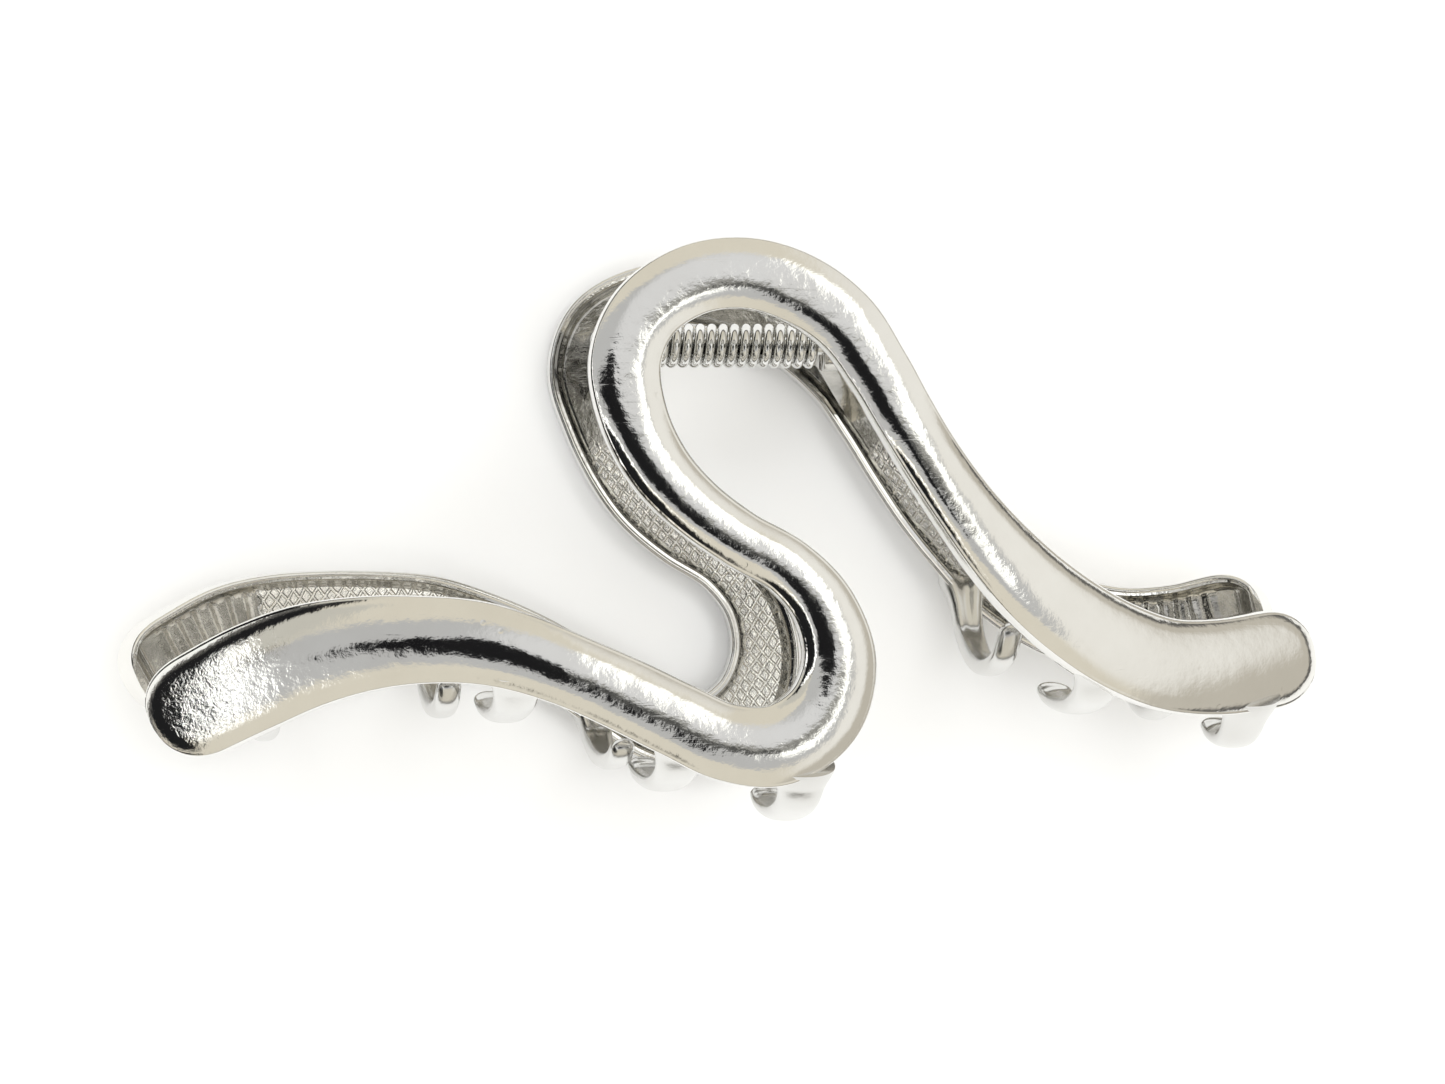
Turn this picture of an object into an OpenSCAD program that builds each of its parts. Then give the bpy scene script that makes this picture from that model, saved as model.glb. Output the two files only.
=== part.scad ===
// Wave-shaped sprung metal hair claw, lying on its rear half.
// X runs along the hinge pin, Y from the teeth (-) to the finger hump (+), Z is up.
// The origin is at the middle of the base of the bounding box.

/* [Clip] */
// Half of the clip's depth across both halves, in the middle of its length
half_depth = 18; // [16:0.5:20]
// Half of the clip's depth at the two ends of the band
tip_half_depth = 6.6; // [6:0.2:9]
// Half length of the level middle of each half
level_half_x = 14; // [12:0.5:16]

/* [Band] */
// Depth of the band's channel section, from its crown to its rim
band_depth = 3.6; // [3:0.1:4]
// Thickness of the metal under the crown
crown_wall = 1.4; // [1:0.1:1.8]
// Thickness of the band's side walls at the rim
rim_wall = 0.8; // [0.6:0.1:1]

/* [Hinge] */
// Radius of the hinge pin
pin_r = 0.8; // [0.7:0.05:0.9]
// Radial gap between the pin and the lugs that turn on it
pin_gap = 0.05; // [0.02:0.01:0.1]
// Thickness of each hinge lug
lug_t = 1.8; // [1.6:0.1:1.8]
// Outer radius of the eye around the pin
eye_r = 2.3; // [2:0.1:2.6]
// Height of the hinge axis on the Y axis
hinge_y = 16.4; // [16:0.1:17]

/* [Spring] */
// Radius of the spring wire
wire_r = 0.47; // [0.4:0.01:0.5]
// Mean radius of the coil
coil_r = 1.6; // [1.5:0.05:1.8]
// Turns in the coil
turns = 14.5; // [12.5:1:14.5]
// Distance from one turn to the next
pitch = 1.06; // [1:0.01:1.07]

/* [Teeth] */
// Width of a tooth at its root
tooth_w = 3.1; // [2.6:0.1:3.4]
// Width of a tooth of the front half at its root
front_tooth_w = 4.3; // [3:0.1:4.4]
// How far the teeth reach past the middle plane
tooth_reach = 2.6; // [1:0.1:3]

/* [Hidden] */
zc = half_depth;
place = [-0.4, 0.7, 0];
metal = [0.80, 0.79, 0.76];

// Centre line of each band as [x, y, band width], from the left end, round the
// bottom bend, up the wave, over the hump and down to the right end.
front_line = [
  [-51.7, -18.4, 9.3], [-47.5, -16, 9.6], [-43, -13.7, 9.8], [-38.5, -11.9, 9.4],
  [-33.5, -10.8, 8.6], [-28.5, -10.4, 7.9], [-23.5, -10.6, 7.5], [-19, -11.6, 7],
  [-14, -13.4, 6.6], [-9.5, -15.4, 6.7], [-5, -17.6, 6.8], [-0.5, -19.6, 7],
  [4.3, -19.8, 7.4], [8.2, -17, 7.3], [9.6, -12.3, 6.6], [8.2, -7.5, 5.8],
  [5, -3.9, 5.3], [0.6, -1.4, 5.2], [-3.5, 1.6, 5.4], [-6.8, 5.2, 5.8],
  [-9, 9.7, 6.1], [-9.7, 14.6, 6.4], [-7.8, 19, 6.4], [-3.6, 21.8, 6.4],
  [1.3, 22.4, 6.4], [6, 21, 6.4], [10.1, 18.1, 6.1], [13, 14, 5.7],
  [15.5, 9.8, 5.5], [18.2, 5.6, 5.5], [21.2, 1.5, 5.8], [24.4, -2.3, 6.5],
  [28, -5.8, 7.2], [32, -8.8, 7.7], [36.3, -11.2, 8.1], [41, -12.8, 8.4],
  [45.8, -13.1, 8.8], [50.5, -12.6, 9], [55.2, -11.8, 9]];
rear_line = [
  [-54, -14.9, 9.3], [-49.8, -12.6, 9.6], [-45.5, -10.5, 9.8], [-41, -9.3, 9.4],
  [-36, -8.6, 8.6], [-31, -8.3, 7.9], [-26, -8.5, 7.5], [-21.3, -9.6, 7],
  [-16.5, -11.3, 6.6], [-12.2, -13.6, 6.7], [-7.9, -16.4, 6.8], [-3.5, -19, 7],
  [1.2, -19.7, 7.4], [5, -17, 7.3], [6.5, -12.4, 6.6], [5.5, -7.7, 5.8],
  [2.5, -4, 5.3], [-1.8, -1.3, 5.2], [-5.2, 1.7, 5.4], [-7.6, 5.3, 5.8],
  [-9.6, 9.7, 6.1], [-10.8, 14.4, 6.4], [-9.4, 18.6, 6.4], [-5.4, 21, 6.4],
  [-0.8, 21.4, 6.4], [4.2, 20.3, 6.4], [9.2, 17.7, 6.1], [13.2, 14, 5.7],
  [16.3, 9.7, 5.5], [19.2, 5.3, 5.5], [22.2, 1.3, 5.8], [25.4, -2, 6.5],
  [28.6, -4.9, 7.2], [32.2, -7.3, 7.7], [36.3, -9.1, 8.1], [41, -10.1, 8.4],
  [45.8, -10, 8.8], [49.6, -9.2, 9], [53.8, -8.3, 9]];

// Teeth of each half as [x, y of the band's lower edge there, drop below that edge,
// lean of the tip along X].
front_teeth = [[-19.2, -14.6, 2.6, -1.4], [-4.6, -20.5, 3, -1.8], [6.4, -23.2, 3, -1.4], [34, -13.8, 2.8, -2.4], [48.6, -17.2, 2.6, -1.4]];
rear_teeth = [[-41.6, -14.2, 4.8, 1], [-25.2, -12.4, 4.6, 0.8], [-9.6, -18.6, 3.2, 1.2], [25.4, -6.8, 6.4, 2.2], [41, -14.3, 3, 1.2]];

// Height of the crown above the middle plane at a place along the clip.
function over(x) = max(0, abs(x) - level_half_x) / (55 - level_half_x);
function crown(x) = half_depth - (half_depth - tip_half_depth) * pow(over(x), 1.8);
function slope(x) = (crown(x + 0.05) - crown(x - 0.05)) / 0.1;

// A smooth curve through the points of a line.
function spline(p, i, t) =
  let (a = p[max(0, i - 1)], b = p[i], c = p[i + 1], d = p[min(len(p) - 1, i + 2)])
  0.5 * (2 * b + (c - a) * t + (2 * a - 5 * b + 4 * c - d) * t * t + (3 * b - 3 * c + d - a) * t * t * t);
function unit(v) = v / norm(v);
end_steps = [0.03, 0.1, 0.22, 0.4, 0.62, 0.85];
function stations(n) = concat(
  [for (t = end_steps) t],
  [for (i = [1 : n - 3]) for (k = [0, 1]) i + k / 2],
  [n - 2],
  [for (k = [len(end_steps) - 1 : -1 : 0]) n - 1 - end_steps[k]]);
function at(p, s) = let (i = min(floor(s), len(p) - 2)) spline(p, i, s - i);

// The band's section, from rim to rim over the crown, then back inside the channel.
out_a = [-1, -1, -0.94, -0.74, -0.4, 0, 0.4, 0.74, 0.94, 1, 1];
out_h = [-1, -0.62, -0.34, -0.15, -0.03, 0, -0.03, -0.15, -0.34, -0.62, -1];
in_a = [1, 0.96, 0.8, 0.6, 0.3, 0, -0.3, -0.6, -0.8, -0.96, -1];
in_h = [0, 0.4, 0.75, 0.95, 1, 1, 1, 0.95, 0.75, 0.4, 0];
m = len(out_a);

function ring(p, s, side) =
  let (
    n = len(p), q = at(p, s), e = 0.02,
    d = at(p, min(s + e, n - 1.001)) - at(p, max(s - e, 0)),
    t = unit([d[0], d[1]]),
    x = q[0], g = slope(x),
    end_d = min(s, n - 1 - s) * 4.75,
    r = q[2] / 2,
    rnd = end_d < r ? sqrt(max(0.01, 1 - pow(1 - end_d / r, 2))) : 1,
    a = r * rnd,
    ai = max(0.12, a - rim_wall),
    deep = min(1, max(0, (end_d - 0.9) / 1.4)) * (band_depth - crown_wall),
    nrm = unit([-g, 0, 1]),
    acr = unit([-t[1], t[0], -t[1] * g]),
    c = [x, q[1], crown(x)])
  [for (k = [0 : 2 * m - 1])
    let (
      u = k < m ? out_a[k] * a : in_a[k - m] * ai,
      h = k < m ? out_h[k] * band_depth * (0.55 + 0.45 * rnd) + 0 : -band_depth * (0.55 + 0.45 * rnd) + in_h[k - m] * deep,
      w = c + acr * u + nrm * h)
    [w[0], w[1], zc + side * w[2]]];

module band(p, side) {
  st = stations(len(p));
  k = len(st);
  rings = [for (s = st) each ring(p, s, side)];
  w = 2 * m;
  sides = [for (i = [0 : k - 2]) for (j = [0 : w - 1])
    let (a = i * w + j, b = i * w + (j + 1) % w, c = a + w, d = b + w)
    each [[a, b, d], [a, d, c]]];
  caps = [for (j = [0 : m - 2])
    let (a = j, b = j + 1, c = w - 2 - j, d = w - 1 - j, o = (k - 1) * w)
    each [[a, c, b], [a, d, c], [o + a, o + b, o + c], [o + a, o + c, o + d]]];
  faces = concat(sides, caps);
  polyhedron(rings, side < 0 ? [for (f = faces) [f[2], f[1], f[0]]] : faces, convexity = 12);
}

// A hooked tooth, swept in a plane across the clip: it leaves the band's lower rim,
// bows out below it and hooks back past the middle plane to a blunt tip.
function tooth_path(x, ye, drop) =
  let (v = crown(x), h0 = v - band_depth * 0.55)
  [[ye + 1.5, h0 + 0.4], [ye + 0.2, h0 - 0.9], [ye - drop * 0.55, h0 - 3], [ye - drop * 0.92, (h0 - 3) * 0.62],
   [ye - drop, (h0 - 3) * 0.25], [ye - drop * 0.82, -tooth_reach * 0.45], [ye - drop * 0.35, -tooth_reach]];
module tooth(x, ye, drop, lean, side) {
  p = tooth_path(x, ye, drop);
  st = [for (i = [0 : len(p) - 2]) for (k = [0, 1]) i + k / 2, len(p) - 1.01];
  k = len(st);
  sides = 10;
  rings = [for (i = [0 : k - 1])
    let (s = st[i], q = at(p, s), d = at(p, min(s + 0.02, len(p) - 1.001)) - at(p, max(0, s - 0.02)),
      t = unit(d), f = i / (k - 1),
      hw = (side > 0 ? front_tooth_w : tooth_w) / 2 * (1 - 0.28 * f) * (i == k - 1 ? 0.55 : 1),
      ht = 1.15 * (1 - 0.35 * f) * (i == k - 1 ? 0.55 : 1))
    each [for (j = [0 : sides - 1])
      let (an = 360 * j / sides, u = hw * cos(an), v = ht * sin(an))
      [x + u + lean * pow(f, 2.2), q[0] - t[1] * v, zc + side * (q[1] + t[0] * v)]]];
  body = [for (i = [0 : k - 2]) for (j = [0 : sides - 1])
    let (a = i * sides + j, b = i * sides + (j + 1) % sides)
    each [[a, b, b + sides], [a, b + sides, a + sides]]];
  ends = [for (j = [1 : sides - 2])
    let (o = (k - 1) * sides) each [[0, j + 1, j], [o, o + j, o + j + 1]]];
  faces = concat(body, ends);
  polyhedron(rings, side < 0 ? [for (f = faces) [f[2], f[1], f[0]]] : faces, convexity = 6);
}

// A hinge lug: a flat web that stands on the floor of the channel and ends in an eye.
module lug(x0, foot_y0, foot_y1, side) {
  foot = half_depth - crown_wall + 0.3;
  difference() {
    union() {
      translate([x0, 0, 0]) rotate([90, 0, 90])
        linear_extrude(lug_t) polygon([
          [foot_y0, zc + side * foot], [foot_y1, zc + side * foot],
          [hinge_y + eye_r * 0.94, zc + side * 0.8], [hinge_y, zc], [hinge_y - eye_r * 0.94, zc + side * 0.8]]);
      translate([x0, hinge_y, zc]) rotate([0, 90, 0]) cylinder(r = eye_r, h = lug_t, $fn = 64);
    }
    translate([x0 - 1, hinge_y, zc]) rotate([0, 90, 0]) cylinder(r = pin_r + pin_gap, h = lug_t + 2, $fn = 64);
  }
}

// The rear half's right lug: an eye on a wedge that spreads along the channel of the right leg.
wedge_foot = [[10.2, 17.4], [12.4, 17.2], [15.4, 12.4], [16.4, 10.2], [14.8, 9.6], [12.6, 12.6], [10.6, 15.6]];
module wedge_lug(x0) {
  difference() {
    union() {
      hull() {
        translate([0, 0, crown_wall - 0.3]) linear_extrude(0.6) polygon(wedge_foot);
        translate([x0, hinge_y - eye_r * 0.94, zc - 2.4]) cube([lug_t, eye_r * 1.88, 0.5]);
      }
      translate([x0, hinge_y - eye_r * 0.94, zc - 2.2]) cube([lug_t, eye_r * 1.88, 1.4]);
      translate([x0, hinge_y, zc]) rotate([0, 90, 0]) cylinder(r = eye_r, h = lug_t, $fn = 64);
    }
    translate([x0 - 1, hinge_y, zc]) rotate([0, 90, 0]) cylinder(r = pin_r + pin_gap, h = lug_t + 2, $fn = 64);
  }
}

// Left faces of the lugs along the pin.
rear_lug_x = [-10.6, 10.1];
front_lug_x = [-8.5, 12.4];

module front_jaw() {
  color(metal) translate(place) union() {
    band(front_line, 1);
    for (t = front_teeth) tooth(t[0], t[1], t[2], t[3], 1);
    lug(front_lug_x[0], 11.8, 17.6, 1);
    lug(front_lug_x[1], 12.2, 16.6, 1);
  }
}

module rear_jaw() {
  color(metal * 0.95) translate(place) union() {
    band(rear_line, -1);
    for (t = rear_teeth) tooth(t[0], t[1], t[2], t[3], -1);
    lug(rear_lug_x[0], 11.6, 17.2, -1);
    wedge_lug(rear_lug_x[1]);
  }
}

module hinge_pin() {
  x0 = rear_lug_x[0] - 0.15;
  x1 = front_lug_x[1] + lug_t + 0.15;
  color([0.7, 0.7, 0.7]) translate(place) translate([0, hinge_y, zc]) rotate([0, 90, 0]) union() {
    translate([0, 0, x0 - 0.6]) cylinder(r = pin_r + 0.5, h = 0.6, $fn = 48);
    translate([0, 0, x0 - 0.1]) cylinder(r = pin_r, h = x1 - x0 + 0.2, $fn = 48);
    translate([0, 0, x1]) cylinder(r = pin_r + 0.5, h = 0.6, $fn = 48);
  }
}

// The spring: a leg against the front half, the coil round the pin, a leg against the rear half.
coil_x0 = -5.9;
seg = 14;
leg_a = [[-7.4, 8.6, 33.2], [-7.2, 9.4, 30.5], [-6.1, 10.4, 26.5], [-5.9, 14.4, 20.6]];
leg_b = [[0, 17.7, -2.6], [0, 17.6, -6.5], [0, 17.6, -10.5], [0.1, 17.8, -13.6]];
function coil_pt(i) =
  let (n = turns * seg, an = 180 + 28 + i / seg * 360)
  [coil_x0 + i / seg * pitch, hinge_y + coil_r * cos(an), zc - coil_r * sin(an)];
function sweep_ring(p, i, r, n) =
  let (
    t = unit(p[min(i + 1, len(p) - 1)] - p[max(i - 1, 0)]),
    a = unit(cross(t, abs(t[0]) > 0.8 ? [0, 1, 0] : [1, 0, 0])),
    b = cross(t, a))
  [for (j = [0 : n - 1]) p[i] + r * (a * cos(360 * j / n) + b * sin(360 * j / n))];
module torsion_spring() {
  n = floor(turns * seg);
  last = coil_pt(n);
  path = concat(leg_a, [for (i = [0 : n]) coil_pt(i)],
    [for (q = leg_b) [last[0] + q[0], q[1], zc + q[2]]]);
  k = 6;
  pts = [for (i = [0 : len(path) - 1]) each sweep_ring(path, i, wire_r, k)];
  faces = concat(
    [for (i = [0 : len(path) - 2]) for (j = [0 : k - 1])
      let (a = i * k + j, b = i * k + (j + 1) % k) each [[a, b + k, b], [a, a + k, b + k]]],
    [for (j = [1 : k - 2]) let (o = (len(path) - 1) * k) each [[0, j, j + 1], [o, o + j + 1, o + j]]]);
  color([0.75, 0.75, 0.74]) translate(place) polyhedron(pts, faces, convexity = 20);
}

front_jaw();
rear_jaw();
hinge_pin();
torsion_spring();
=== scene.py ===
"""Wave-shaped metal hair claw: looks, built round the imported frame."""
import math
import bpy
import numpy as np
from mathutils import Vector, Matrix


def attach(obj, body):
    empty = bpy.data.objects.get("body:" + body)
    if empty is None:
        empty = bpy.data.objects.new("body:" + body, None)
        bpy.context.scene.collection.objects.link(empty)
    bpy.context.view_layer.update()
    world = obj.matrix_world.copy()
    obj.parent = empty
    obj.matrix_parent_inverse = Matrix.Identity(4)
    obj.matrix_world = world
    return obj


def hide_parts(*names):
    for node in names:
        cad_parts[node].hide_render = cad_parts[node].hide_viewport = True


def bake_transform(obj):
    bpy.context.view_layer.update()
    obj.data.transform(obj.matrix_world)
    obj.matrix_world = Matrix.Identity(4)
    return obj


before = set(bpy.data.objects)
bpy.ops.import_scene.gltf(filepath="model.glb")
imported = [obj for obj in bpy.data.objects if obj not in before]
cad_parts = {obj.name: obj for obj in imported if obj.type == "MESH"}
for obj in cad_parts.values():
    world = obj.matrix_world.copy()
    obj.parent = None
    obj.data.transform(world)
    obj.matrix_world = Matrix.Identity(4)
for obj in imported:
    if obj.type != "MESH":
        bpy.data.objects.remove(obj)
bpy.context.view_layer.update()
MM = 0.001

# ------------------------------------------------------------------ design numbers, as in the CAD model (mm)
HALF, TIP_HALF, LEVEL_X = 18.0, 6.6, 14.0
BAND_D, CROWN_W, RIM_W = 3.6, 1.4, 0.8
ZC = 18.0
PLACE = np.array([-0.4, 0.7, 0.0])
HINGE_Y = 16.4
PIN_R, EYE_R, LUG_T = 0.8, 2.3, 1.8
WIRE_R, COIL_R, TURNS, PITCH = 0.47, 1.6, 14.5, 1.06
TOOTH_W, FRONT_TOOTH_W, REACH = 3.1, 4.3, 2.6
BLUNT = 2.5  # 2 is a half round end, more is squarer
ARCH, ARCH_HUMP = 0.42, 0.15  # slope of the outer face at its edge: the finger hump is flatter

FRONT = [
  [-51.7, -18.4, 9.3], [-47.5, -16, 9.6], [-43, -13.7, 9.8], [-38.5, -11.9, 9.4],
  [-33.5, -10.8, 8.6], [-28.5, -10.4, 7.9], [-23.5, -10.6, 7.5], [-19, -11.6, 7],
  [-14, -13.4, 6.6], [-9.5, -15.4, 6.7], [-5, -17.6, 6.8], [-0.5, -19.6, 7],
  [4.3, -19.8, 7.4], [8.2, -17, 7.3], [9.6, -12.3, 6.6], [8.2, -7.5, 5.8],
  [5, -3.9, 5.3], [0.6, -1.4, 5.2], [-3.5, 1.6, 5.4], [-6.8, 5.2, 5.8],
  [-9, 9.7, 6.1], [-9.7, 14.6, 6.4], [-7.8, 19, 6.4], [-3.6, 21.8, 6.4],
  [1.3, 22.4, 6.4], [6, 21, 6.4], [10.1, 18.1, 6.1], [13, 14, 5.7],
  [15.5, 9.8, 5.5], [18.2, 5.6, 5.5], [21.2, 1.5, 5.8], [24.4, -2.3, 6.5],
  [28, -5.8, 7.2], [32, -8.8, 7.7], [36.3, -11.2, 8.1], [41, -12.8, 8.4],
  [45.8, -13.1, 8.8], [50.5, -12.6, 9], [55.2, -11.8, 9]]
REAR = [
  [-54, -14.9, 9.3], [-49.8, -12.6, 9.6], [-45.5, -10.5, 9.8], [-41, -9.3, 9.4],
  [-36, -8.6, 8.6], [-31, -8.3, 7.9], [-26, -8.5, 7.5], [-21.3, -9.6, 7],
  [-16.5, -11.3, 6.6], [-12.2, -13.6, 6.7], [-7.9, -16.4, 6.8], [-3.5, -19, 7],
  [1.2, -19.7, 7.4], [5, -17, 7.3], [6.5, -12.4, 6.6], [5.5, -7.7, 5.8],
  [2.5, -4, 5.3], [-1.8, -1.3, 5.2], [-5.2, 1.7, 5.4], [-7.6, 5.3, 5.8],
  [-9.6, 9.7, 6.1], [-10.8, 14.4, 6.4], [-9.4, 18.6, 6.4], [-5.4, 21, 6.4],
  [-0.8, 21.4, 6.4], [4.2, 20.3, 6.4], [9.2, 17.7, 6.1], [13.2, 14, 5.7],
  [16.3, 9.7, 5.5], [19.2, 5.3, 5.5], [22.2, 1.3, 5.8], [25.4, -2, 6.5],
  [28.6, -4.9, 7.2], [32.2, -7.3, 7.7], [36.3, -9.1, 8.1], [41, -10.1, 8.4],
  [45.8, -10, 8.8], [49.6, -9.2, 9], [53.8, -8.3, 9]]
FRONT_TEETH = [[-19.2, -14.6, 2.6, -1.4], [-4.6, -20.5, 3, -1.8], [6.4, -23.2, 3, -1.4], [34, -13.8, 2.8, -2.4], [48.6, -17.2, 2.6, -1.4]]
REAR_TEETH = [[-41.6, -14.2, 4.8, 1], [-25.2, -12.4, 4.6, 0.8], [-9.6, -18.6, 3.2, 1.2], [25.4, -6.8, 6.4, 2.2], [41, -14.3, 3, 1.2]]

# ------------------------------------------------------------------ camera
D_CAM, K_PX, TILT = 0.600, 10.9, math.radians(6.2)
W_PX, H_PX = 1445, 1084
target = Vector((((722 - 715) / K_PX + PLACE[0]) * MM, ((524 - 542) / K_PX + PLACE[1]) * MM, 20 * MM))
cam_data = bpy.data.cameras.new("camera")
cam = bpy.data.objects.new("camera", cam_data)
bpy.context.scene.collection.objects.link(cam)
cam.location = target + D_CAM * Vector((-math.sin(TILT), 0, math.cos(TILT)))
cam.rotation_euler = (0, -TILT, 0)
cam_data.sensor_fit = "HORIZONTAL"
cam_data.sensor_width = 36.0
cam_data.lens = 36.0 * (K_PX * D_CAM * 1000) / W_PX
cam_data.clip_start, cam_data.clip_end = 0.01, 20
bpy.context.scene.camera = cam


# ------------------------------------------------------------------ shared shape formulas
def crown(x):
    o = np.maximum(0, np.abs(x) - LEVEL_X) / (55 - LEVEL_X)
    return HALF - (HALF - TIP_HALF) * o ** 1.8


def slope(x):
    return (crown(x + 0.05) - crown(x - 0.05)) / 0.1


def at(p, s):
    """Catmull-Rom through the points of a line, at parameters s."""
    p = np.asarray(p, float)
    s = np.asarray(s, float)
    i = np.clip(np.floor(s).astype(int), 0, len(p) - 2)
    t = (s - i)[:, None]
    a, b, c, d = p[np.maximum(i - 1, 0)], p[i], p[i + 1], p[np.minimum(i + 2, len(p) - 1)]
    return 0.5 * (2 * b + (c - a) * t + (2 * a - 5 * b + 4 * c - d) * t * t + (3 * b - 3 * c + d - a) * t ** 3)



class Build:
    """Collects closed shells into one mesh, in millimetres of the design frame."""

    def __init__(self):
        self.v, self.f, self.mat, self.att = [], [], [], []
        self.n = 0

    def add(self, verts, faces, mat=0, att=0.0):
        verts = np.asarray(verts, float)
        # every shell is closed, so its signed volume says which way its faces look
        tri = np.array([(f[0], f[k], f[k + 1]) for f in faces for k in range(1, len(f) - 1)])
        p0, p1, p2 = verts[tri[:, 0]], verts[tri[:, 1]], verts[tri[:, 2]]
        if np.einsum("ij,ij->", p0, np.cross(p1, p2)) < 0:
            faces = [tuple(f)[::-1] for f in faces]
        self.v.append(verts)
        self.f += [tuple(i + self.n for i in f) for f in faces]
        self.mat += list(mat) if hasattr(mat, "__len__") else [mat] * len(faces)
        self.att.append(np.asarray(att, float) if hasattr(att, "__len__") else np.full(len(verts), float(att)))
        self.n += len(verts)

    def object(self, name, materials, sharp=38.0):
        v = (np.concatenate(self.v) + PLACE) * MM
        me = bpy.data.meshes.new(name)
        me.from_pydata(v.tolist(), [], self.f)
        me.update()
        me.polygons.foreach_set("use_smooth", [True] * len(me.polygons))
        me.polygons.foreach_set("material_index", self.mat)
        a = me.attributes.new("hatch", "FLOAT", "POINT")
        a.data.foreach_set("value", np.concatenate(self.att).astype(np.float32))
        me.set_sharp_from_angle(angle=math.radians(sharp))
        for m in materials:
            me.materials.append(m)
        ob = bpy.data.objects.new(name, me)
        bpy.context.scene.collection.objects.link(ob)
        return ob


def smoothstep(a, b, x):
    t = np.clip((x - a) / (b - a), 0, 1)
    return t * t * (3 - 2 * t)


# ------------------------------------------------------------------ the band
def outer_profile(n=23):
    """Half of the outer face: spacing of the samples across it, from 0 to 1."""
    t = np.sin(np.linspace(0, math.pi / 2, n)) ** 1.0
    return t


WN = 9  # points down each side wall, with the rolled edge


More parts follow.
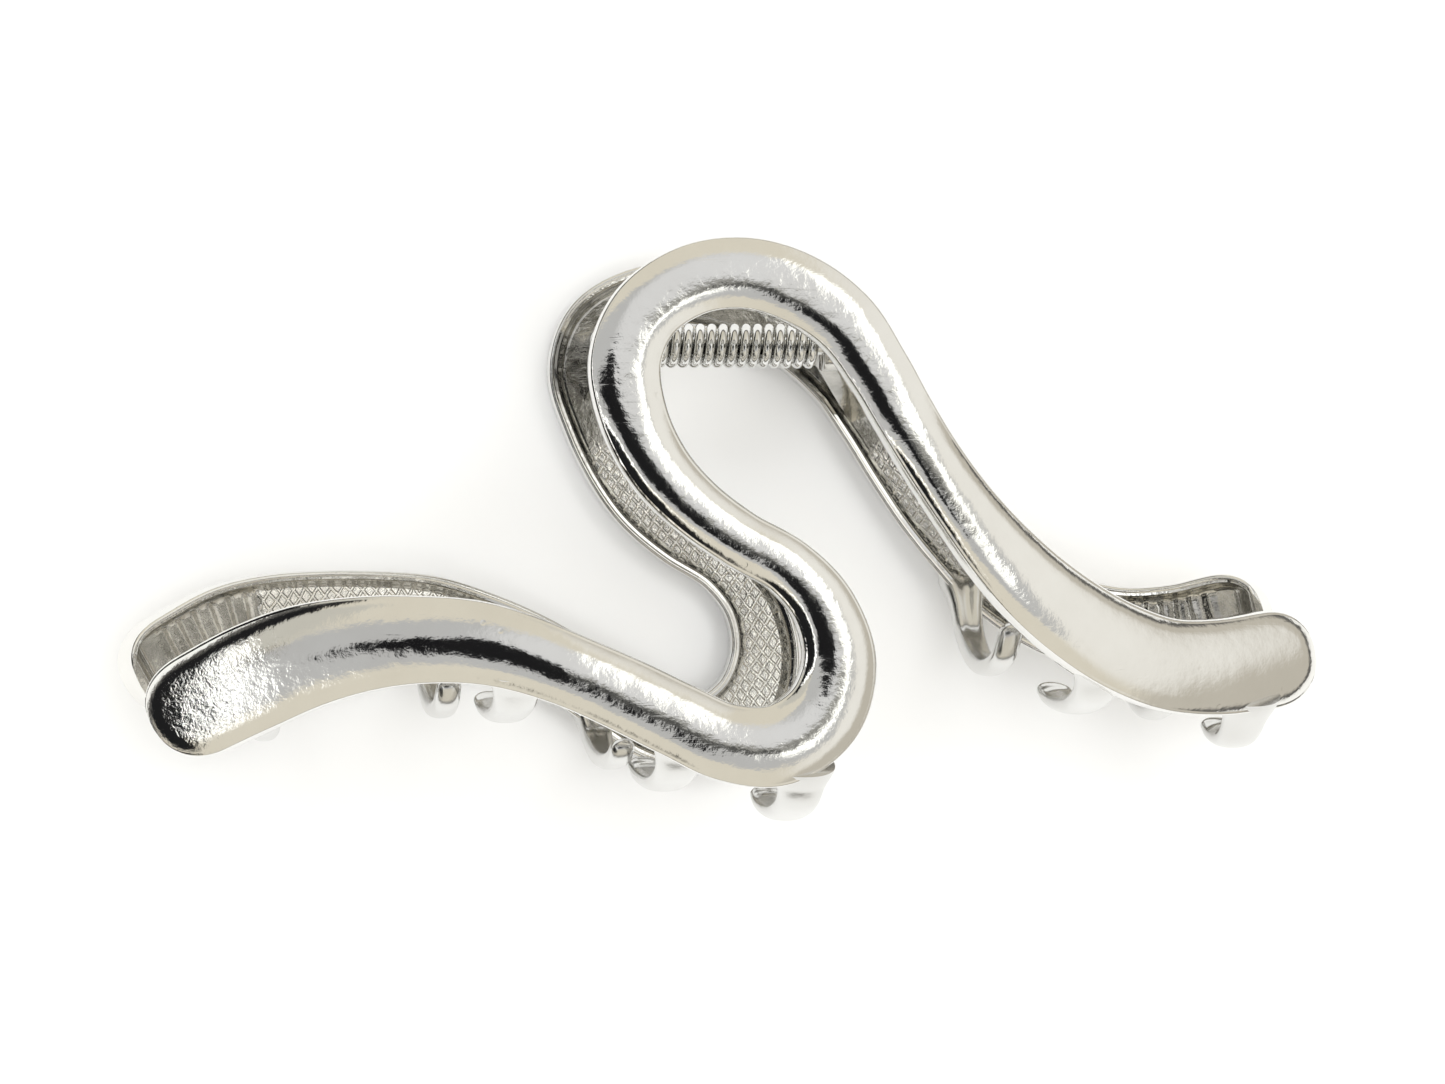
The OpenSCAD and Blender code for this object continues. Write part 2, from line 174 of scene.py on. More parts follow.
def band_mesh(b, line, side):
    n = len(line)
    # stations at an even spacing along the line, closer at the two rounded ends
    s = np.linspace(0, n - 1.0001, 4001)
    q = at(line, s)
    run = np.r_[0, np.cumsum(np.linalg.norm(np.diff(q[:, :2], axis=0), axis=1))]
    length = run[-1]
    ends = 4.75 * (1 - np.cos(np.linspace(0, math.pi / 2, 26)[1:])) + 0.004
    mid = np.arange(4.9, length - 4.9, 0.27)
    d = np.r_[ends, mid, (length - ends)[::-1]]
    s = np.interp(d, run, s)
    e = 0.02
    q = at(line, s)
    hi, lo = at(line, np.minimum(s + e, n - 1.0001)), at(line, np.maximum(s - e, 0))
    t = hi[:, :2] - lo[:, :2]
    t /= np.linalg.norm(t, axis=1)[:, None]
    x, y, w = q[:, 0], q[:, 1], q[:, 2]
    g = slope(x)
    nrm = np.stack([-g, 0 * g, 1 + 0 * g], 1)
    nrm /= np.linalg.norm(nrm, axis=1)[:, None]
    acr = np.stack([-t[:, 1], t[:, 0], -t[:, 1] * g], 1)
    acr /= np.linalg.norm(acr, axis=1)[:, None]
    c = np.stack([x, y, crown(x)], 1)
    end_d = np.minimum(d, length - d)
    r = w / 2
    k = np.clip(end_d / r, 0, 1)
    rnd = np.maximum(1e-5, 1 - (1 - k) ** BLUNT) ** (1 / BLUNT)
    a = r * rnd
    # the crown turns down round the end in the same shoulder as along the sides
    back = np.maximum(0, r - end_d)
    depth = BAND_D
    rows_u, rows_h, att = [], [], []
    # outer half profile, centre to rim (fractions of a and mm)
    tt = np.r_[np.linspace(0, 0.66, 12), 0.66 + 0.34 * np.sin(np.linspace(0, math.pi / 2, 14)[1:])]
    sw, sh, edge = 1.5, 0.34, 0.32  # width and height of the shoulder and radius of the edge, mm
    hump = smoothstep(4.5, 11.5, y)
    arch = ARCH + (ARCH_HUMP - ARCH) * hump
    for i in range(len(d)):
        ai = a[i]
        ue = max(ai - edge, 0.55 * ai)
        er = ai - ue
        u = tt * ue
        face = 0.5 * arch[i] * u ** 2 / r[i]
        swi = sw + 0.75 * hump[i]
        rho = (back[i] ** BLUNT + u ** BLUNT) ** (1 / BLUNT)
        q0 = np.clip((rho - (r[i] - swi)) / swi, 0, 1)
        shoulder = sh * q0 ** 2
        h = -(face + shoulder)
        # lower wall and the rim's rounded lip
        roll = [(ue + er * math.sin(t), h[-1] - er * (1 - math.cos(t))) for t in np.radians((25, 50, 70, 90))]
        wall = roll + [(ai, -2.2), (ai, -2.9), (ai - 0.02, -depth + 0.22), (ai - 0.09, -depth + 0.07), (ai - 0.22, -depth)]
        wall_u = np.array([p[0] for p in wall])
        wall_h = np.minimum(np.array([p[1] for p in wall]), h[-1] - 0.005 * np.arange(1, WN + 1))
        # channel, from the lip back to the middle of its floor
        op = float(smoothstep(0.7, 2.6, end_d[i]))
        fl = -CROWN_W - 0.25 * (1 - op)
        inn = [(0.40, -depth), (0.50, -depth + 0.07), (0.55, -depth + 0.32), (0.78, -depth + 0.36),
               (0.90, -depth + 0.5), (1.0, -2.35), (1.08, -1.95), (1.28, -1.62), (1.55, fl)]
        iu = np.array([max(ai - p[0], 0.02 * (12 - j)) for j, p in enumerate(inn)])
        ih = np.array([p[1] for p in inn])
        fu = iu[-1] * np.linspace(1, 0, 8)[1:]
        fh = np.full(7, fl)
        ih = -depth + (ih + depth) * op
        fh = -depth + (fh + depth) * op
        hu = np.r_[u, wall_u, iu, fu]
        hh = np.r_[h, wall_h, ih, fh]
        rows_u.append(np.r_[hu, -hu[1:-1][::-1]])
        rows_h.append(np.r_[hh, hh[1:-1][::-1]])
    U, H = np.array(rows_u), np.array(rows_h)
    ring = U.shape[1]
    half = len(tt) + WN + 9 + 7
    # channel floor: moulded ribs near both ends, and a smooth raised pad near the hinge
    floor_first = len(tt) + WN + 8
    idx = np.arange(ring)
    is_floor = (idx >= floor_first) & (idx <= 2 * (half - 1) - floor_first)
    is_in = (idx >= len(tt) + WN + 3) & (idx <= 2 * (half - 1) - (len(tt) + WN + 3))
    pad = smoothstep(7.0, 8.0, y)
    rib = np.zeros(len(d))
    for e0, sg in ((0.0, 1), (length, -1)):
        dd = (d - e0) * sg
        rib += 0.16 * np.exp(-(((dd - 4.2) % 1.5) - 0.75) ** 2 / 0.07) * ((dd > 4.2) & (dd < 13.2))
        rib += 0.0
    well = smoothstep(13.6, 14.0, np.minimum(d, length - d))
    lift = -0.42 * pad - rib - 0.30 * well * (1 - pad)
    lift = lift * smoothstep(2.4, 3.4, end_d)
    H = H + np.where(is_floor[None, :], lift[:, None], 0)
    P = c[:, None, :] + acr[:, None, :] * U[..., None] + nrm[:, None, :] * H[..., None]
    # set each point above or below the middle plane, by the side of this half
    P[..., 2] = ZC + side * P[..., 2]
    V = P.reshape(-1, 3)
    m = len(d)
    faces, mats = [], []
    inner = is_in[:-1] & is_in[1:]
    for i in range(m - 1):
        o = i * ring
        for j in range(ring):
            j2 = (j + 1) % ring
            f = (o + j, o + j2, o + ring + j2, o + ring + j)
            faces.append(f if side > 0 else f[::-1])
            mats.append(1 if (is_in[j] and is_in[j2]) else 0)
    for o, flip in ((0, False), ((m - 1) * ring, True)):
        # close the end: outer samples against channel samples, strip by strip
        h1 = half - 1
        for j in range(h1):
            p0, p1 = j, j + 1
            r0, r1 = (ring - j) % ring, ring - j - 1
            f = (o + p0, o + r0, o + r1, o + p1) if p0 != r0 else (o + p0, o + r1, o + p1)
            if r1 == p1:
                f = (o + p0, o + r0, o + p1)
            if flip:
                f = f[::-1]
            faces.append(f if side > 0 else f[::-1])
            mats.append(0)
    hatch = np.where(is_floor[None, :], (well * (1 - pad))[:, None], 0.0).reshape(-1)
    b.add(V, faces, mats, hatch)


# ------------------------------------------------------------------ teeth
def tooth_mesh(b, x, ye, drop, lean, side):
    h0 = crown(np.array([x]))[0] - BAND_D * 0.55
    p = np.array([[ye + 1.5, h0 + 0.4], [ye + 0.2, h0 - 0.9], [ye - drop * 0.55, h0 - 3], [ye - drop * 0.92, (h0 - 3) * 0.62],
                  [ye - drop, (h0 - 3) * 0.25], [ye - drop * 0.82, -REACH * 0.45], [ye - drop * 0.35, -REACH]])
    n, sides = 60, 36
    s = np.linspace(0, len(p) - 1.0001, n)
    q = at(p, s)
    t = at(p, np.minimum(s + 0.02, len(p) - 1.0001)) - at(p, np.maximum(s - 0.02, 0))
    t /= np.linalg.norm(t, axis=1)[:, None]
    f = np.linspace(0, 1, n)
    run = np.r_[0, np.cumsum(np.linalg.norm(np.diff(q, axis=0), axis=1))]
    togo = run[-1] - run
    tip = np.sqrt(np.clip(1 - (1 - np.clip(togo / 0.95, 0, 1)) ** 2, 0.0004, 1))
    flare = 1 + (0.32 if side > 0 else 0.5) * np.exp(-((run / 2.1) ** 2))
    hw = (FRONT_TOOTH_W if side > 0 else TOOTH_W) / 2 * (1 - 0.28 * f) * flare * tip
    ht = 1.15 * (1 - 0.35 * f) * (1 + 0.25 * np.exp(-((run / 2.1) ** 2))) * tip
    an = np.linspace(0, 2 * math.pi, sides, endpoint=False)
    ca, sa = np.cos(an), np.sin(an)
    # a rounded-rectangle section, with a shallow channel down the inner face near the root
    cu = np.sign(ca) * np.abs(ca) ** 0.85
    cv = np.sign(sa) * np.abs(sa) ** 0.85
    g = np.clip(1 - (f - 0.05) / 0.5, 0, 1)
    V = []
    for i in range(n):
        u = hw[i] * cu
        v = ht[i] * cv
        inner = cv > 0
        v = np.where(inner, v * (1 - 0.62 * g[i] * np.exp(-(cu / 0.42) ** 2)), v)
        V.append(np.stack([x + u + lean * f[i] ** 2.2, q[i, 0] - t[i, 1] * v, ZC + side * (q[i, 1] + t[i, 0] * v)], 1))
    V = np.concatenate(V)
    faces = []
    for i in range(n - 1):
        for j in range(sides):
            a, c2 = i * sides + j, i * sides + (j + 1) % sides
            faces.append((a, c2, c2 + sides, a + sides))
    faces.append(tuple(range(sides))[::-1])
    faces.append(tuple((n - 1) * sides + j for j in range(sides)))
    if side > 0:
        faces = [fc[::-1] for fc in faces]
    b.add(V, faces, 2, 0.0)


# ------------------------------------------------------------------ lugs
from mathutils.geometry import tessellate_polygon
import bmesh


def plate_with_bore(b, x0, outline, side):
    """A lug: a flat outline (y, z above the middle plane) with a bore, bevelled all round."""
    n = 64
    hole = [(HINGE_Y + (PIN_R + 0.05) * math.cos(2 * math.pi * k / n), (PIN_R + 0.05) * math.sin(2 * math.pi * k / n)) for k in range(n)]
    loops = [[Vector((p[0], p[1], 0)) for p in outline], [Vector((p[0], p[1], 0)) for p in hole]]
    tris = tessellate_polygon(loops)
    pts = list(outline) + hole
    bm = bmesh.new()
    lo = [bm.verts.new((x0, p[0], p[1])) for p in pts]
    hi = [bm.verts.new((x0 + LUG_T, p[0], p[1])) for p in pts]
    for tri in tris:
        bm.faces.new([lo[k] for k in tri])
        bm.faces.new([hi[k] for k in tri][::-1])
    for start, count in ((0, len(outline)), (len(outline), n)):
        for k in range(count):
            k1 = start + k
            k2 = start + (k + 1) % count
            bm.faces.new([lo[k1], lo[k2], hi[k2], hi[k1]])
    bmesh.ops.recalc_face_normals(bm, faces=bm.faces)
    bmesh.ops.dissolve_limit(bm, angle_limit=0.01, verts=bm.verts, edges=bm.edges)
    rim = [e for e in bm.edges if len(e.link_faces) == 2 and e.link_faces[0].normal.angle(e.link_faces[1].normal) > 0.9]
    bmesh.ops.bevel(bm, geom=rim, offset=0.16, segments=3, profile=0.5, affect="EDGES")
    bmesh.ops.recalc_face_normals(bm, faces=bm.faces)
    add_bm(b, bm, side)


def add_bm(b, bm, side):
    bm.verts.ensure_lookup_table()
    V = np.array([(v.co.x, v.co.y, ZC + side * v.co.z) for v in bm.verts])
    F = [tuple(v.index for v in f.verts) for f in bm.faces]
    if side < 0:
        F = [f[::-1] for f in F]
    bm.free()
    b.add(V, F, 1, 0.0)


def lug_outline(y0, y1):
    """Web up from the channel floor into a round eye about the pin."""
    foot = HALF - CROWN_W + 0.3
    arc = [(HINGE_Y + EYE_R * math.cos(t), EYE_R * math.sin(t)) for t in np.linspace(math.radians(20), math.radians(-200), 40)]
    return [(y0, foot)] + [(y1, foot)] + arc


def hull_block(b, pts, side, bevel=0.2):
    bm = bmesh.new()
    for p in pts:
        bm.verts.new(p)
    r = bmesh.ops.convex_hull(bm, input=bm.verts)
    gone = [g for g in r["geom_interior"] if isinstance(g, bmesh.types.BMVert)]
    if gone:
        bmesh.ops.delete(bm, geom=gone, context="VERTS")
    bmesh.ops.dissolve_limit(bm, angle_limit=0.02, verts=bm.verts, edges=bm.edges)
    bmesh.ops.recalc_face_normals(bm, faces=bm.faces)
    rim = [e for e in bm.edges if len(e.link_faces) == 2 and e.link_faces[0].normal.angle(e.link_faces[1].normal) > 0.35]
    bmesh.ops.bevel(bm, geom=rim, offset=bevel, segments=3, profile=0.5, affect="EDGES")
    bmesh.ops.recalc_face_normals(bm, faces=bm.faces)
    add_bm(b, bm, side)


# ------------------------------------------------------------------ materials
def node_math(nt, op, a, b=None, clamp=False):
    n = nt.nodes.new("ShaderNodeMath")
    n.operation = op
    n.use_clamp = clamp
    for i, v in enumerate((a, b)):
        if v is None:
            continue
        if isinstance(v, (int, float)):
            n.inputs[i].default_value = v
        else:
            nt.links.new(v, n.inputs[i])
    return n.outputs[0]


def noise(nt, vec, scale, detail=3.0, rough=0.5, dist=0.0):
    n = nt.nodes.new("ShaderNodeTexNoise")
    n.inputs["Scale"].default_value = scale
    n.inputs["Detail"].default_value = detail
    n.inputs["Roughness"].default_value = rough
    n.inputs["Distortion"].default_value = dist
    nt.links.new(vec, n.inputs["Vector"])
    return n.outputs[0]


def bump(nt, height, distance, strength, normal=None):
    n = nt.nodes.new("ShaderNodeBump")
    n.inputs["Distance"].default_value = distance
    n.inputs["Strength"].default_value = strength
    nt.links.new(height, n.inputs["Height"])
    if normal is not None:
        nt.links.new(normal, n.inputs["Normal"])
    return n.outputs[0]


def ramp(nt, fac, stops):
    n = nt.nodes.new("ShaderNodeValToRGB")
    cr = n.color_ramp
    while len(cr.elements) < len(stops):
        cr.elements.new(0.5)
    for e, (p, c) in zip(cr.elements, stops):
        e.position = p
        e.color = (c, c, c, 1) if isinstance(c, (int, float)) else (*c, 1)
    nt.links.new(fac, n.inputs[0])
    return n.outputs[0]


def metal(name, color, dark, rough, grain=1.0, casting=False, hatch=False, rough_var=0.05):
    mat = bpy.data.materials.new(name)
    mat.use_nodes = True
    nt = mat.node_tree
    bs = nt.nodes["Principled BSDF"]
    bs.inputs["Metallic"].default_value = 1.0
    tc = nt.nodes.new("ShaderNodeTexCoord")
    vec = tc.outputs["Object"]
    # plating colour: faint cloudy change and slightly darker specks
    cloud = noise(nt, vec, 160, 4, 0.6)
    col = ramp(nt, cloud, [(0.25, dark), (0.7, color)])
    if hatch:
        # painted shade: the walls, ribs, pads and lugs inside get a dark colour in place of shade and dark reflections,
        # and only the hatched floor keeps the bright plating colour
        at0 = nt.nodes.new("ShaderNodeAttribute")
        at0.attribute_name = "hatch"
        painted_shade_color = ramp(nt, noise(nt, vec, 420, 3, 0.6), [(0.35, (0.44, 0.43, 0.40)), (0.65, (0.64, 0.627, 0.59))])
        mixc = nt.nodes.new("ShaderNodeMix")
        mixc.data_type = "RGBA"
        nt.links.new(at0.outputs["Fac"], mixc.inputs[0])
        nt.links.new(painted_shade_color, mixc.inputs[6])
        nt.links.new(col, mixc.inputs[7])
        col = mixc.outputs[2]
    nt.links.new(col, bs.inputs["Base Color"])
    fine = noise(nt, vec, 2600, 4, 0.6)
    r = node_math(nt, "MULTIPLY_ADD", fine, rough_var)
    r.node.inputs[2].default_value = rough
    nt.links.new(r, bs.inputs["Roughness"])
    # polished casting: long soft waves, orange peel, then fine grain
    wave = noise(nt, vec, 210, 2, 0.5)
    n1 = bump(nt, wave, 0.00018, 0.35 * grain)
    peel = noise(nt, vec, 900, 3, 0.55)
    n2 = bump(nt, peel, 0.00008, 0.35 * grain, n1)
    grainy = noise(nt, vec, 4200, 3, 0.6)
    n3 = bump(nt, grainy, 0.000012, 0.35 * grain, n2)
    last = n3
    # fine hairline scratches, in stretched coordinates
    mp = nt.nodes.new("ShaderNodeMapping")
    mp.inputs["Rotation"].default_value = (0.0, 0.0, 0.6)
    mp.inputs["Scale"].default_value = (160, 3800, 600)
    nt.links.new(vec, mp.inputs["Vector"])
    scr = noise(nt, mp.outputs[0], 1.0, 2, 0.5)
    scr = ramp(nt, scr, [(0.66, 0.0), (0.72, 1.0)])
    last = bump(nt, scr, 0.000008, 0.25 * grain, last)
    # scattered casting pits
    vo = nt.nodes.new("ShaderNodeTexVoronoi")
    vo.inputs["Scale"].default_value = 420
    nt.links.new(vec, vo.inputs["Vector"])
    pit = ramp(nt, vo.outputs["Distance"], [(0.06, 0.0), (0.14, 1.0)])
    gate = ramp(nt, noise(nt, vec, 130, 2, 0.5), [(0.58, 0.0), (0.70, 1.0)])
    pit = node_math(nt, "MAXIMUM", pit, node_math(nt, "SUBTRACT", 1.0, gate))
    last = bump(nt, pit, 0.00005, 0.5 * grain, last)
    if casting:
        # the left end kept its rougher casting skin under the plate
        sep = nt.nodes.new("ShaderNodeSeparateXYZ")
        nt.links.new(vec, sep.inputs[0])
        m = nt.nodes.new("ShaderNodeMapRange")
        m.inputs["From Min"].default_value = -0.0385
        m.inputs["From Max"].default_value = -0.046
        nt.links.new(sep.outputs["X"], m.inputs["Value"])
        sp = noise(nt, vec, 2600, 2, 0.6, 0.8)
        sp = node_math(nt, "MULTIPLY", sp, m.outputs[0])
        last = bump(nt, sp, 0.000018, 0.8, last)
    if hatch:
        at_n = nt.nodes.new("ShaderNodeAttribute")
        at_n.attribute_name = "hatch"
        outs = []
        for rot in (0.55, -0.75):
            mp2 = nt.nodes.new("ShaderNodeMapping")
            mp2.inputs["Rotation"].default_value = (0, 0, rot)
            nt.links.new(vec, mp2.inputs["Vector"])
            wv = nt.nodes.new("ShaderNodeTexWave")
            wv.inputs["Scale"].default_value = 330
            wv.inputs["Distortion"].default_value = 2.2
            wv.inputs["Detail"].default_value = 2
            nt.links.new(mp2.outputs[0], wv.inputs["Vector"])
            outs.append(ramp(nt, wv.outputs[1], [(0.70, 0.0), (0.95, 1.0)]))
        hx = node_math(nt, "MAXIMUM", outs[0], outs[1])
        hx = node_math(nt, "ADD", hx, node_math(nt, "MULTIPLY", noise(nt, vec, 1900, 3, 0.7), 0.9))
        hx = node_math(nt, "MULTIPLY", hx, at_n.outputs["Fac"])
        last = bump(nt, hx, 0.00010, 1.0, last)
        crude = noise(nt, vec, 2300, 3, 0.65)
        last = bump(nt, crude, 0.00002, 0.7, last)
    nt.links.new(last, bs.inputs["Normal"])
    return mat


PLATE = (0.80, 0.795, 0.775)
PLATE_D = (0.75, 0.74, 0.715)
m_out = metal("nickel_plate", PLATE, PLATE_D, 0.045, casting=True)
# the inside plating is a brighter copy of the nickel plate: painted highlight on the hatched channel floor
m_in = metal("nickel_plate_inside", (0.93, 0.92, 0.89), (0.72, 0.70, 0.66), 0.05, grain=1.3, hatch=True, rough_var=0.08)
# the teeth are a darker copy of the nickel plate: painted shade, so they read grey against the white floor
m_tooth = metal("nickel_plate_teeth", (0.70, 0.70, 0.69), (0.64, 0.635, 0.62), 0.17, grain=0.8, rough_var=0.06)
m_spring = metal("spring_wire", (0.80, 0.80, 0.79), (0.64, 0.64, 0.62), 0.06, grain=0.6)
m_pin = metal("pin_steel", (0.72, 0.72, 0.71), (0.64, 0.64, 0.62), 0.16, grain=0.8)

# ------------------------------------------------------------------ the four pieces
bf = Build()
band_mesh(bf, FRONT, 1)
for t in FRONT_TEETH:
    tooth_mesh(bf, *t, 1)
plate_with_bore(bf, -8.5, lug_outline(11.8, 17.6), 1)
plate_with_bore(bf, 12.4, lug_outline(12.2, 16.6), 1)
front = bf.object("front_jaw_cast", [m_out, m_in, m_tooth])

br = Build()
band_mesh(br, REAR, -1)
for t in REAR_TEETH:
    tooth_mesh(br, *t, -1)
plate_with_bore(br, -10.6, lug_outline(11.6, 17.2), -1)
wedge_foot = [(10.2, 17.4), (12.4, 17.2), (15.4, 12.4), (16.4, 10.2), (14.8, 9.6), (12.6, 12.6), (10.6, 15.6)]
zf = HALF - CROWN_W + 0.3
hull_block(br, [(p[0], p[1], zf) for p in wedge_foot] + [(p[0], p[1], zf - 0.6) for p in wedge_foot] +
           [(10.1 + i * LUG_T, HINGE_Y + j * EYE_R * 0.94, 2.0) for i in (0, 1) for j in (-1, 1)], -1)
eye = [(HINGE_Y + EYE_R * math.cos(t), EYE_R * math.sin(t)) for t in np.linspace(math.radians(20), math.radians(-200), 40)]
plate_with_bore(br, 10.1, [(HINGE_Y - EYE_R * 0.94, 2.4), (HINGE_Y + EYE_R * 0.94, 2.4)] + eye, -1)
rear = br.object("rear_jaw_cast", [m_out, m_in, m_tooth])

# the pin, turned with chamfers and domed, peened heads
x0, x1 = -10.6 - 0.15, 12.4 + LUG_T + 0.15
prof = [(x0 - 0.6, 0.0), (x0 - 0.59, 0.55), (x0 - 0.5, 0.95), (x0 - 0.36, 1.2), (x0 - 0.2, 1.3), (x0 - 0.06, 1.28), (x0, 1.2), (x0, PIN_R + 0.02),
        (x0 + 0.1, PIN_R), (x1 - 0.1, PIN_R), (x1, PIN_R + 0.02), (x1, 1.2), (x1 + 0.06, 1.28), (x1 + 0.2, 1.3), (x1 + 0.36, 1.2), (x1 + 0.5, 0.95), (x1 + 0.59, 0.55), (x1 + 0.6, 0.0)]
bp = Build()
ns = 48
V = [(prof[0][0], HINGE_Y, ZC)]
for px, pr in prof[1:-1]:
    V += [(px, HINGE_Y + pr * math.cos(2 * math.pi * k / ns), ZC + pr * math.sin(2 * math.pi * k / ns)) for k in range(ns)]
V.append((prof[-1][0], HINGE_Y, ZC))
F = [(0, 1 + (k + 1) % ns, 1 + k) for k in range(ns)]
for i in range(len(prof) - 3):
    for k in range(ns):
        a, c2 = 1 + i * ns + k, 1 + i * ns + (k + 1) % ns
        F.append((a, c2, c2 + ns, a + ns))
last_ring = 1 + (len(prof) - 3) * ns
F += [(len(V) - 1, last_ring + k, last_ring + (k + 1) % ns) for k in range(ns)]
bp.add(V, F)
pin = bp.object("hinge_pin_steel", [m_pin], sharp=50)


# the torsion spring: a leg in each half, and a close coil between them
def spring_path():
    seg = 48
    ca = -5.9
    n = int(TURNS * seg)
    i = np.arange(n + 1)
    an = np.radians(180 + 28) + i / seg * 2 * math.pi
    coil = np.stack([ca + i / seg * PITCH, HINGE_Y + COIL_R * np.cos(an), ZC - COIL_R * np.sin(an)], 1)
    leg_a = np.array([[-7.4, 8.6, 33.2], [-7.2, 9.4, 30.5], [-6.1, 10.4, 26.5], [-5.9, 14.4, 20.6]])
    last = coil[-1]
    leg_b = np.array([[0, 17.7, -2.6], [0, 17.6, -6.5], [0, 17.6, -10.5], [0.1, 17.8, -13.6]])
    leg_b = np.stack([last[0] + leg_b[:, 0], leg_b[:, 1], ZC + leg_b[:, 2]], 1)
    ka = np.vstack([leg_a, coil[:1]])
    kb = np.vstack([coil[-1:], leg_b])

    def fine(k, before=None, after=None):
        p = np.vstack([2 * k[0] - k[1] if before is None else before, k, 2 * k[-1] - k[-2] if after is None else after])
        out = []
        for j in range(1, len(p) - 2):
            for t in np.linspace(0, 1, 10, endpoint=False):
                a, b_, c, d = p[j - 1], p[j], p[j + 1], p[j + 2]
                out.append(0.5 * (2 * b_ + (c - a) * t + (2 * a - 5 * b_ + 4 * c - d) * t * t + (3 * b_ - 3 * c + d - a) * t ** 3))
        return np.array(out)
    A = fine(ka, after=coil[5])
    Bp = fine(kb, before=coil[-6])
    return np.vstack([A, coil, Bp[1:], leg_b[-1:]])


def tube(b, path, r, sides=16):
    p = np.asarray(path, float)
    t = np.gradient(p, axis=0)
    t /= np.linalg.norm(t, axis=1)[:, None]
    a = np.array([1.0, 0, 0])
    V, rr = [], np.full(len(p), r)
    rr[0] = rr[-1] = r * 0.72
    for i in range(len(p)):
        a = a - t[i] * (a @ t[i])
        a /= np.linalg.norm(a)
        c = np.cross(t[i], a)
        for k in range(sides):
            an = 2 * math.pi * k / sides
            V.append(p[i] + rr[i] * (a * math.cos(an) + c * math.sin(an)))
    F = []
    for i in range(len(p) - 1):
        for k in range(sides):
            q0, q1 = i * sides + k, i * sides + (k + 1) % sides
            F.append((q0, q1, q1 + sides, q0 + sides))
    F.append(tuple(range(sides))[::-1])
    F.append(tuple((len(p) - 1) * sides + k for k in range(sides)))
    b.add(V, F)


bs_ = Build()
tube(bs_, spring_path(), WIRE_R)
spring = bs_.object("torsion_spring_wire", [m_spring], sharp=50)

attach(front, "front_half")
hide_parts("front_jaw")
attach(rear, "rear_half")
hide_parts("rear_jaw")
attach(pin, "rear_half")
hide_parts("hinge_pin")
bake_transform(spring)
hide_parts("torsion_spring")

# ------------------------------------------------------------------ stage and light
bpy.ops.mesh.primitive_plane_add(size=4.0, location=(0, 0, -0.00005))
floor = bpy.context.object
floor.name = "floor"
fm = bpy.data.materials.new("floor_white")
fm.use_nodes = True
fb = fm.node_tree.nodes["Principled BSDF"]
fb.inputs["Base Color"].default_value = (0.93, 0.93, 0.935, 1)
fb.inputs["Roughness"].default_value = 0.9
fb.inputs["Specular IOR Level"].default_value = 0.1
# the table is one-sided: from underneath the clip's lower face can be seen through it
geo = fm.node_tree.nodes.new("ShaderNodeNewGeometry")
clear = fm.node_tree.nodes.new("ShaderNodeBsdfTransparent")
mixf = fm.node_tree.nodes.new("ShaderNodeMixShader")
fm.node_tree.links.new(geo.outputs["Backfacing"], mixf.inputs[0])
fm.node_tree.links.new(fb.outputs[0], mixf.inputs[1])
fm.node_tree.links.new(clear.outputs[0], mixf.inputs[2])
fm.node_tree.links.new(mixf.outputs[0], fm.node_tree.nodes["Material Output"].inputs["Surface"])
floor.data.materials.append(fm)

world = bpy.data.worlds.new("studio")
bpy.context.scene.world = world
world.use_nodes = True
wn = world.node_tree
wn.nodes.clear()
out = wn.nodes.new("ShaderNodeOutputWorld")
bg = wn.nodes.new("ShaderNodeBackground")
wn.links.new(bg.outputs[0], out.inputs[0])
wtc = wn.nodes.new("ShaderNodeTexCoord")
wdir = wtc.outputs["Generated"]


wsep = wn.nodes.new("ShaderNodeSeparateXYZ")
wn.links.new(wdir, wsep.inputs[0])


def wmath(op, *args):
    n = wn.nodes.new("ShaderNodeMath")
    n.operation = op
    for k, v in enumerate(args):
        if isinstance(v, (int, float)):
            n.inputs[k].default_value = v
        else:
            wn.links.new(v, n.inputs[k])
    return n.outputs[0]


# angles of a direction from straight up, in degrees: to the right and away from the viewer
ax = wmath("MULTIPLY", wmath("ARCTAN2", wsep.outputs["X"], wsep.outputs["Z"]), 180 / math.pi)
ay = wmath("MULTIPLY", wmath("ARCTAN2", wsep.outputs["Y"], wsep.outputs["Z"]), 180 / math.pi)


def panel(cx, cy, rx, ry, turn, soft, power=2.0):
    """1 inside a soft panel of the studio, 0 outside: centre, half sizes and turn in degrees."""
    c, sn = math.cos(math.radians(turn)), math.sin(math.radians(turn))
    dx, dy = wmath("SUBTRACT", ax, cx), wmath("SUBTRACT", ay, cy)
    u = wmath("MULTIPLY_ADD", dy, sn / rx, wmath("MULTIPLY", dx, c / rx))
    v = wmath("MULTIPLY_ADD", dy, c / ry, wmath("MULTIPLY", dx, -sn / ry))
    e = wmath("ADD", wmath("POWER", wmath("ABSOLUTE", u), power), wmath("POWER", wmath("ABSOLUTE", v), power))
    mr = wn.nodes.new("ShaderNodeMapRange")
    mr.interpolation_type = "SMOOTHSTEP"
    mr.inputs["From Min"].default_value = (1 + soft) ** power
    mr.inputs["From Max"].default_value = max(0.0, 1 - soft) ** power
    wn.links.new(e, mr.inputs["Value"])
    return mr.outputs[0]


def blend_to(col, mask, color):
    mx = wn.nodes.new("ShaderNodeMix")
    mx.data_type = "RGBA"
    wn.links.new(mask, mx.inputs[0])
    if isinstance(col, tuple):
        mx.inputs[6].default_value = (*col, 1)
    else:
        wn.links.new(col, mx.inputs[6])
    mx.inputs[7].default_value = (*color, 1)
    return mx.outputs[2]


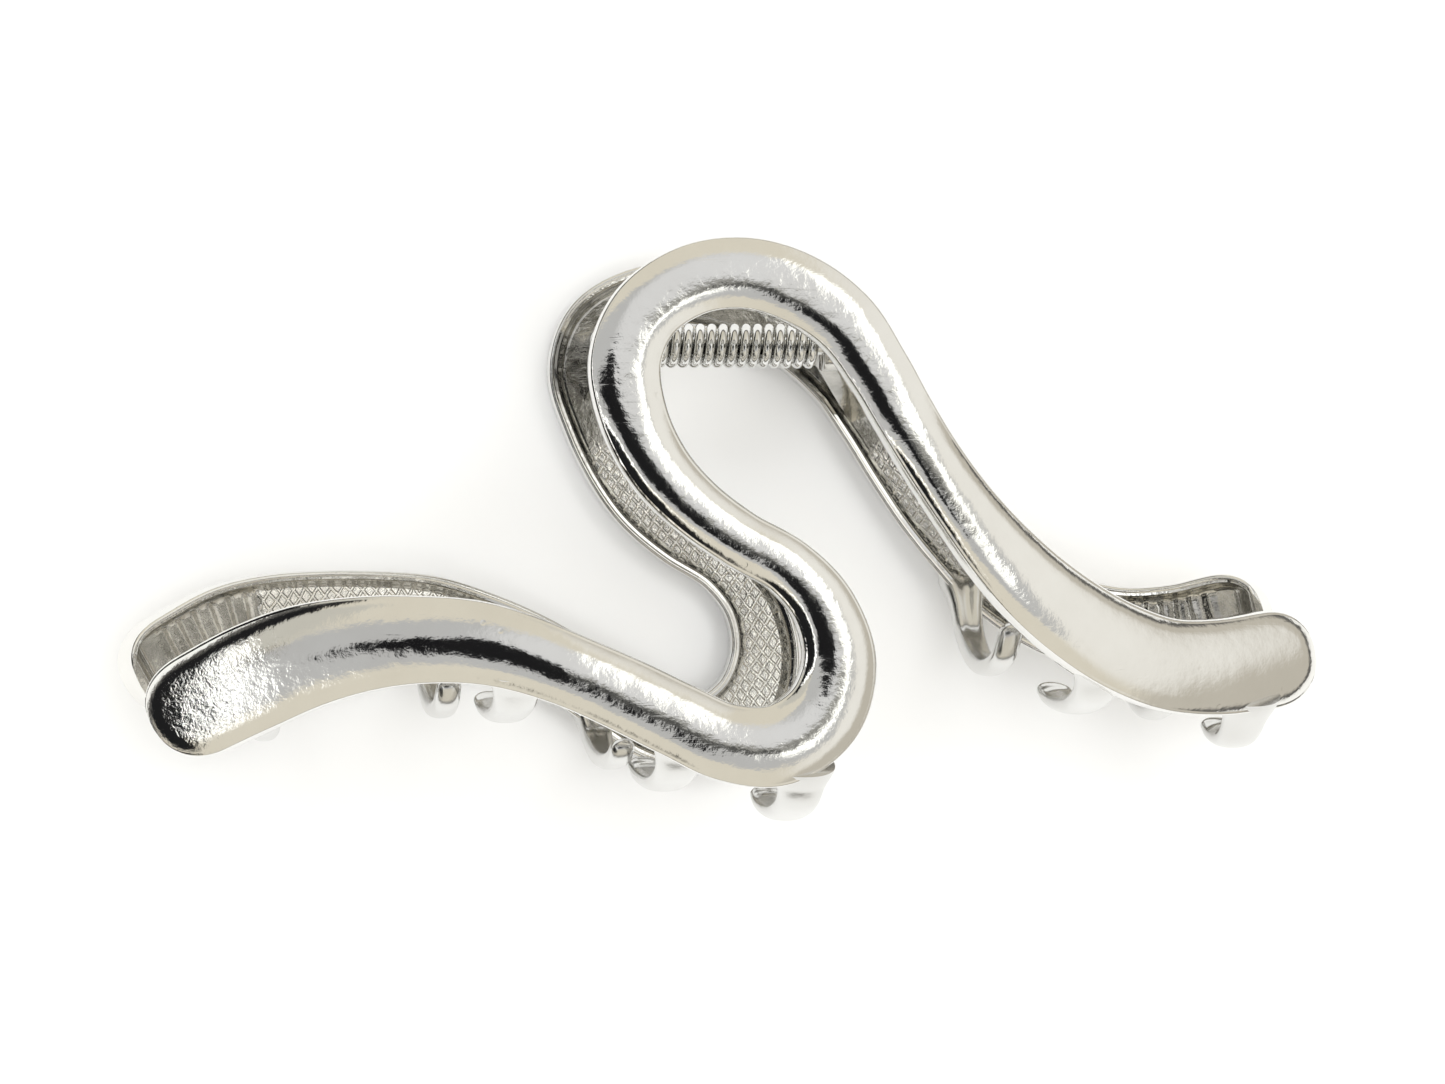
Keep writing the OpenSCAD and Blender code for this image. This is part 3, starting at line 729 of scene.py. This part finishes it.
# a warm room, a pale grey dome over the table, a strip light on each side and the dark of the camera
sky = (0.84, 0.79, 0.67)
for shape, color in [
    ((72, 0, 30, 80, 0, 0.4, 4), (0.63, 0.59, 0.51)),     # wall on the right
    ((40, 8, 16, 44, -10, 0.7, 2), (1.02, 1.0, 0.94)),    # its brighter near part
    ((-10, -3, 34, 25, 0, 0.10, 4), (0.60, 0.60, 0.595)),  # dome
    ((6, 10, 14, 12, 20, 0.5, 2), (0.84, 0.84, 0.84)),
    ((-68, 10, 25, 80, 11, 0.07, 4), (0.016, 0.016, 0.017)),  # unlit left side
    ((-45, 41, 9, 20, 0, 0.3, 4), (0.68, 0.66, 0.59)),    # wall seen above it
    ((-42.5, 0, 1.7, 34, 21, 0.4, 4), (2.2, 2.2, 2.15)),  # strip light, left
    ((16, 4, 4.6, 17, -12, 0.45, 4), (1.7, 1.7, 1.62)),   # strip light, right
    ((8, -6, 6, 4, 20, 0.6, 2), (0.34, 0.335, 0.31)),     # stand under it
    ((-16, -6, 14, 7.5, -8, 0.14, 2), (0.012, 0.012, 0.013)),  # camera
    ((2.5, -8.5, 5.5, 3, 10, 0.3, 2), (0.10, 0.10, 0.095)),
    ((-10, -9, 13.5, 5.8, 32, 0.16, 2), (0.014, 0.014, 0.015)),
    ((-4.5, -14, 6, 4.5, 40, 0.16, 2), (0.014, 0.014, 0.015)),
    ((-10, -1, 8.5, 5.5, 0, 0.16, 2), (0.014, 0.014, 0.015)),
]:
    sky = blend_to(sky, panel(*shape), color)
# the far edge of the table and the room behind it are darker than the dome
low = wn.nodes.new("ShaderNodeMapRange")
low.interpolation_type = "SMOOTHSTEP"
low.inputs["From Min"].default_value = 0.20
low.inputs["From Max"].default_value = 0.07
wn.links.new(wsep.outputs["Z"], low.inputs["Value"])
sky = blend_to(sky, low.outputs[0], (0.15, 0.145, 0.135))
# seen straight on, the backdrop is plain and pale
lp = wn.nodes.new("ShaderNodeLightPath")
sky = blend_to(sky, lp.outputs["Is Camera Ray"], (0.96, 0.96, 0.96))
wn.links.new(sky, bg.inputs["Color"])
bg.inputs["Strength"].default_value = 1.0

# a wide soft box overhead fills the table white
bpy.ops.object.light_add(type="AREA", location=(-0.05, 0.05, 0.9))
soft = bpy.context.object
soft.name = "overhead_softbox"
soft.data.shape = "SQUARE"
soft.data.size = 1.1
soft.data.energy = 8.5
soft.data.color = (0.965, 0.985, 1.0)
soft.visible_glossy = False
bpy.context.scene.view_settings.view_transform = "Standard"
